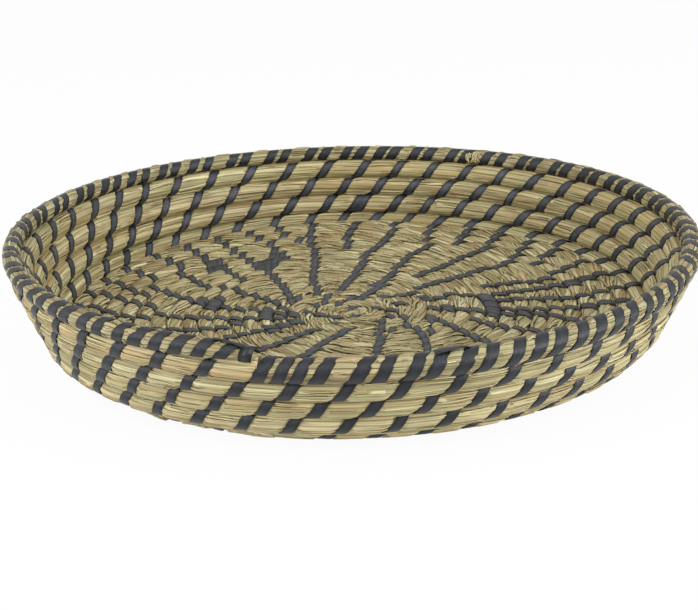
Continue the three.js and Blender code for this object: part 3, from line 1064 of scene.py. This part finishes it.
def stripTree():
    tree = bpy.data.node_groups.new("layStrips", "GeometryNodeTree")
    for label, kind in (
        ("Geometry", "Geometry"),
        ("Stroke", "Object"),
        ("Material", "Material"),
        ("Tilt", "Float"),
        ("Seed", "Int"),
    ):
        tree.interface.new_socket(label, in_out="INPUT", socket_type="NodeSocket" + kind)
    tree.interface.new_socket("Geometry", in_out="OUTPUT", socket_type="NodeSocketGeometry")
    given = tree.nodes.new("NodeGroupInput").outputs

    def attribute(name):
        inputs = {"Name": name}
        return addNode(tree, "GeometryNodeInputNamedAttribute", inputs, data_type="FLOAT_VECTOR").outputs[0]

    # Each stroke lies across the bundle, tilted a little by chance
    axes = {"Primary Axis": attribute("along"), "Secondary Axis": attribute("outward")}
    facing = addNode(tree, "FunctionNodeAxesToRotation", axes, primary_axis="X", secondary_axis="Z")
    tilt = randomFloat(tree, times(tree, given["Tilt"], -1.0), given["Tilt"], given["Seed"])
    tiltTurn = {"Axis": (0.0, 0.0, 1.0), "Angle": tilt}
    tiltTurn = addNode(tree, "FunctionNodeAxisAngleToRotation", tiltTurn)
    turned = {0: facing.outputs[0], 1: tiltTurn.outputs[0]}
    turned = addNode(tree, "FunctionNodeRotateRotation", turned, rotation_space="LOCAL")
    # and a little wider or narrower
    spread = stripShape["widthSpread"]
    width = randomFloat(tree, 1 - spread, 1 + spread, maths(tree, "ADD", given["Seed"], 1.0))
    size = vectorMaths(tree, "MULTIPLY", attribute("size"), vector(tree, width, 1.0, 1.0))
    picked = addNode(tree, "GeometryNodeObjectInfo", {"Object": given["Stroke"]}, transform_space="ORIGINAL")
    placed = {"Points": given["Geometry"], "Instance": picked.outputs["Geometry"]}
    placed.update({"Rotation": turned.outputs[0], "Scale": size})
    placed = addNode(tree, "GeometryNodeInstanceOnPoints", placed).outputs[0]
    tone = randomFloat(tree, 0.0, 1.0, maths(tree, "ADD", given["Seed"], 2.0))
    toned = {"Geometry": placed, "Name": "stripTone", "Value": tone}
    toned = addNode(tree, "GeometryNodeStoreNamedAttribute", toned, data_type="FLOAT", domain="INSTANCE")
    real = addNode(tree, "GeometryNodeRealizeInstances", {"Geometry": toned.outputs[0]}).outputs[0]
    # Uneven edges
    position = tree.nodes.new("GeometryNodeInputPosition").outputs[0]
    waver = {"Vector": position, "Scale": stripShape["waverScale"], "Detail": 1.0}
    waver = addNode(tree, "ShaderNodeTexNoise", waver).outputs["Color"]
    centred = vectorMaths(tree, "SUBTRACT", waver, (0.5, 0.5, 0.5))
    shift = vectorMaths(tree, "MULTIPLY", centred, (stripShape["waver"],) * 3)
    moved = {"Geometry": real, "Offset": shift}
    moved = addNode(tree, "GeometryNodeSetPosition", moved).outputs[0]
    finished = addNode(tree, "GeometryNodeSetMaterial", {"Geometry": moved, "Material": given["Material"]})
    feed(tree, tree.nodes.new("NodeGroupOutput").inputs[0], finished.outputs[0])
    return tree


layStrips = stripTree()


def socketId(tree, label):
    items = tree.interface.items_tree
    return [item.identifier for item in items if item.name == label and item.in_out == "INPUT"][0]


def layStrokes(name, kind, bundle, steps, width, material, seed, tilt):
    template = makeStroke(kind, bundle["squareness"], steps, width)
    turns = strokeTurns[kind]
    middle, along, side, up, halfWidth, halfDepth = bundleFrame(turns)
    mesh = bpy.data.meshes.new(name + "Points")
    mesh.from_pydata((middle * mm).tolist(), [], [])
    size = np.stack([np.full(len(turns), mm), halfWidth * mm, halfDepth * mm], 1)
    for label, values in (("along", along), ("outward", -up), ("size", size)):
        layer = mesh.attributes.new(label, "FLOAT_VECTOR", "POINT")
        layer.data.foreach_set("vector", values.astype(np.float32).ravel())
    points = addObject(name + "Points", mesh)
    modifier = points.modifiers.new("strips", "NODES")
    modifier.node_group = layStrips
    inputs = {"Stroke": template, "Material": strips[material], "Seed": seed, "Tilt": tilt}
    for label, value in inputs.items():
        modifier[socketId(layStrips, label)] = value
    bpy.context.view_layer.update()
    evaluated = points.evaluated_get(bpy.context.evaluated_depsgraph_get())
    result = bpy.data.meshes.new_from_object(evaluated)
    result.name = name
    addObject(name, result)
    points.modifiers.clear()
    bpy.data.objects.remove(points)
    bpy.data.objects.remove(template)
    print("laid", name, len(turns), "strokes,", len(result.polygons), "faces")


for name, settings in stripPieces.items():
    layStrokes(name, *settings)

# Ends of strips that are tucked along the rim's inner top, and the strip wound round the tail's end:
# turns, section angles in degrees and half widths in millimetres
tuckedEnds = {
    "tuckedStripLeft": ((4.981, 4.9862, 4.9912, 4.9962), (388, 398, 396, 374), 1.7),
    "tuckedStripRight": ((4.0665, 4.071, 4.0765, 4.082), (374, 386, 396, 404), 2.3),
    "tailStrip": ((4.9944, 4.9955, 4.9966, 4.9980), (180, 270, 360, 460), 3.3),
}
tuckShape = {"rings": 17, "raised": 0.35, "dive": 1.6, "narrowing": 0.25, "thick": 0.3}


def tuckEnd(name, turns, degrees, halfWidth):
    share = np.linspace(0, 1, tuckShape["rings"])
    places = np.linspace(0, 1, len(turns))
    lengths = lengthAt(np.interp(share, places, turns))[None, :]
    angles = np.radians(np.interp(share, places, degrees))[None, :]
    toEnd = np.abs(2 * share - 1)[None, :]
    raised = tuckShape["raised"] - tuckShape["dive"] * toEnd**8
    half = halfWidth * (1.0 - tuckShape["narrowing"] * toEnd**3)
    thick, squareness = tuckShape["thick"], rimBundle["squareness"]
    return sweep(name, lengths, angles, raised, half, thick, squareness, "strip", strips["satinStrip"])


for name, settings in tuckedEnds.items():
    tuckEnd(name, *settings)

# Every piece with the solids whose place it takes. All are on the tray's one body.
wallStripNodes = ["wall_strip_1", "wall_strip_2", "wall_strip_3", "wall_strip_4"]
replaced = {
    "floorBundleInner": ["floor_coil"],
    "startKnot": ["floor_coil"],
    "floorBundleOuter": ["floor_coil"],
    "wallBundle": ["wall_coil"],
    "rimBundle": ["rim_coil"],
    "wallStripsOutside": wallStripNodes,
    "wallStripsInside": wallStripNodes,
    "floorStripsTop": [],
    "floorStripsUnder": [],
    "rimStrips": ["rim_strip_first", "rim_strip_second"],
    "tuckedStripLeft": ["tucked_strip_end_left"],
    "tuckedStripRight": ["tucked_strip_end_right"],
    "tailStrip": [],
}
replaced.update({name: [] for name in [*looseStraws, "cutTuft"]})
for name, nodes in replaced.items():
    piece = bpy.data.objects[name]
    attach(piece, "root")
    if nodes:
        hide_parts(*nodes)

# Floor and background
backdrop = {"size": 6.0, "paint": (0.75, 0.75, 0.75, 1), "roughness": 0.9, "ownLight": 0.95}


# 1 for what the camera sees directly, mirrored or through glass, and 0 for light on the tray
def seenDirectly(tree):
    path = tree.nodes.new("ShaderNodeLightPath").outputs
    seen = maths(tree, "MAXIMUM", path["Is Camera Ray"], path["Is Transmission Ray"])
    return maths(tree, "MAXIMUM", seen, path["Is Glossy Ray"])


def makeStage():
    half = backdrop["size"] / 2
    mesh = bpy.data.meshes.new("paleFloor")
    corners = [(-half, -half, 0), (half, -half, 0), (half, half, 0), (-half, half, 0)]
    mesh.from_pydata(corners, [], [(0, 1, 2, 3)])
    floor = addObject("paleFloor", mesh)
    material, tree, shader = newMaterial("palePaper")
    shader.inputs["Base Color"].default_value = backdrop["paint"]
    shader.inputs["Roughness"].default_value = backdrop["roughness"]
    shader.inputs["Specular IOR Level"].default_value = 0.0
    glow = addNode(tree, "ShaderNodeEmission", {"Color": (1, 1, 1, 1), "Strength": 1.0})
    share = times(tree, seenDirectly(tree), backdrop["ownLight"])
    blend = addNode(tree, "ShaderNodeMixShader", {0: share, 1: shader.outputs[0], 2: glow.outputs[0]})
    feed(tree, tree.nodes["Material Output"].inputs["Surface"], blend.outputs[0])
    mesh.materials.append(material)


makeStage()

lighting = {
    "sky": 0.62,
    "lamps": {
        "key": {"place": (-0.9, -0.75, 1.35), "size": 1.2, "power": 13.5},
        "fill": {"place": (1.05, -0.6, 1.2), "size": 1.2, "power": 8.4},
        "left": {"place": (-1.3, -0.75, 0.3), "size": 0.7, "power": 11.0},
        "right": {"place": (1.3, -0.75, 0.3), "size": 0.7, "power": 17.0},
    },
}


def makeLights():
    world = bpy.data.worlds.new("studio")
    bpy.context.scene.world = world
    world.use_nodes = True
    tree = world.node_tree
    background = tree.nodes["Background"]
    extra = times(tree, seenDirectly(tree), 1 - lighting["sky"])
    feed(tree, background.inputs["Strength"], maths(tree, "ADD", lighting["sky"], extra))
    background.inputs["Color"].default_value = (1, 1, 1, 1)
    for name, setting in lighting["lamps"].items():
        data = bpy.data.lights.new(name, "AREA")
        data.shape = "DISK"
        data.size = setting["size"]
        data.energy = setting["power"]
        lamp = addObject(name, data)
        lamp.location = setting["place"]
        lamp.rotation_euler = (-Vector(setting["place"])).to_track_quat("-Z", "Y").to_euler()


makeLights()
print("stage and lamps ready")

# The photo's camera
photoCamera = {
    "elevation": math.radians(22.09),
    "distance": 0.79216,
    "focalPixels": 1278.31,
    "roll": math.radians(1.62),
    "aimHeight": 0.005,
    "offCentre": (7.62, 14.9),
    "imageWidth": 698,
}


def makeCamera():
    setting = photoCamera
    tilt = setting["elevation"]
    back = Vector((0, -math.cos(tilt), math.sin(tilt)))
    right = Vector((1, 0, 0))
    up = back.cross(right)
    cosine, sine = math.cos(setting["roll"]), math.sin(setting["roll"])
    rolledRight = cosine * right - sine * up
    rolledUp = sine * right + cosine * up
    data = bpy.data.cameras.new("photoCamera")
    data.sensor_width = 36
    data.lens = setting["focalPixels"] * data.sensor_width / setting["imageWidth"]
    data.shift_x = -setting["offCentre"][0] / setting["imageWidth"]
    data.shift_y = setting["offCentre"][1] / setting["imageWidth"]
    data.clip_start = 0.01
    camera = addObject("photoCamera", data)
    place = back * setting["distance"] + Vector((0, 0, setting["aimHeight"]))
    axes = Matrix((rolledRight, rolledUp, back)).transposed().to_4x4()
    camera.matrix_world = Matrix.Translation(place) @ axes
    bpy.context.scene.camera = camera


makeCamera()
bpy.context.scene.view_settings.view_transform = "Standard"
print("scene ready")
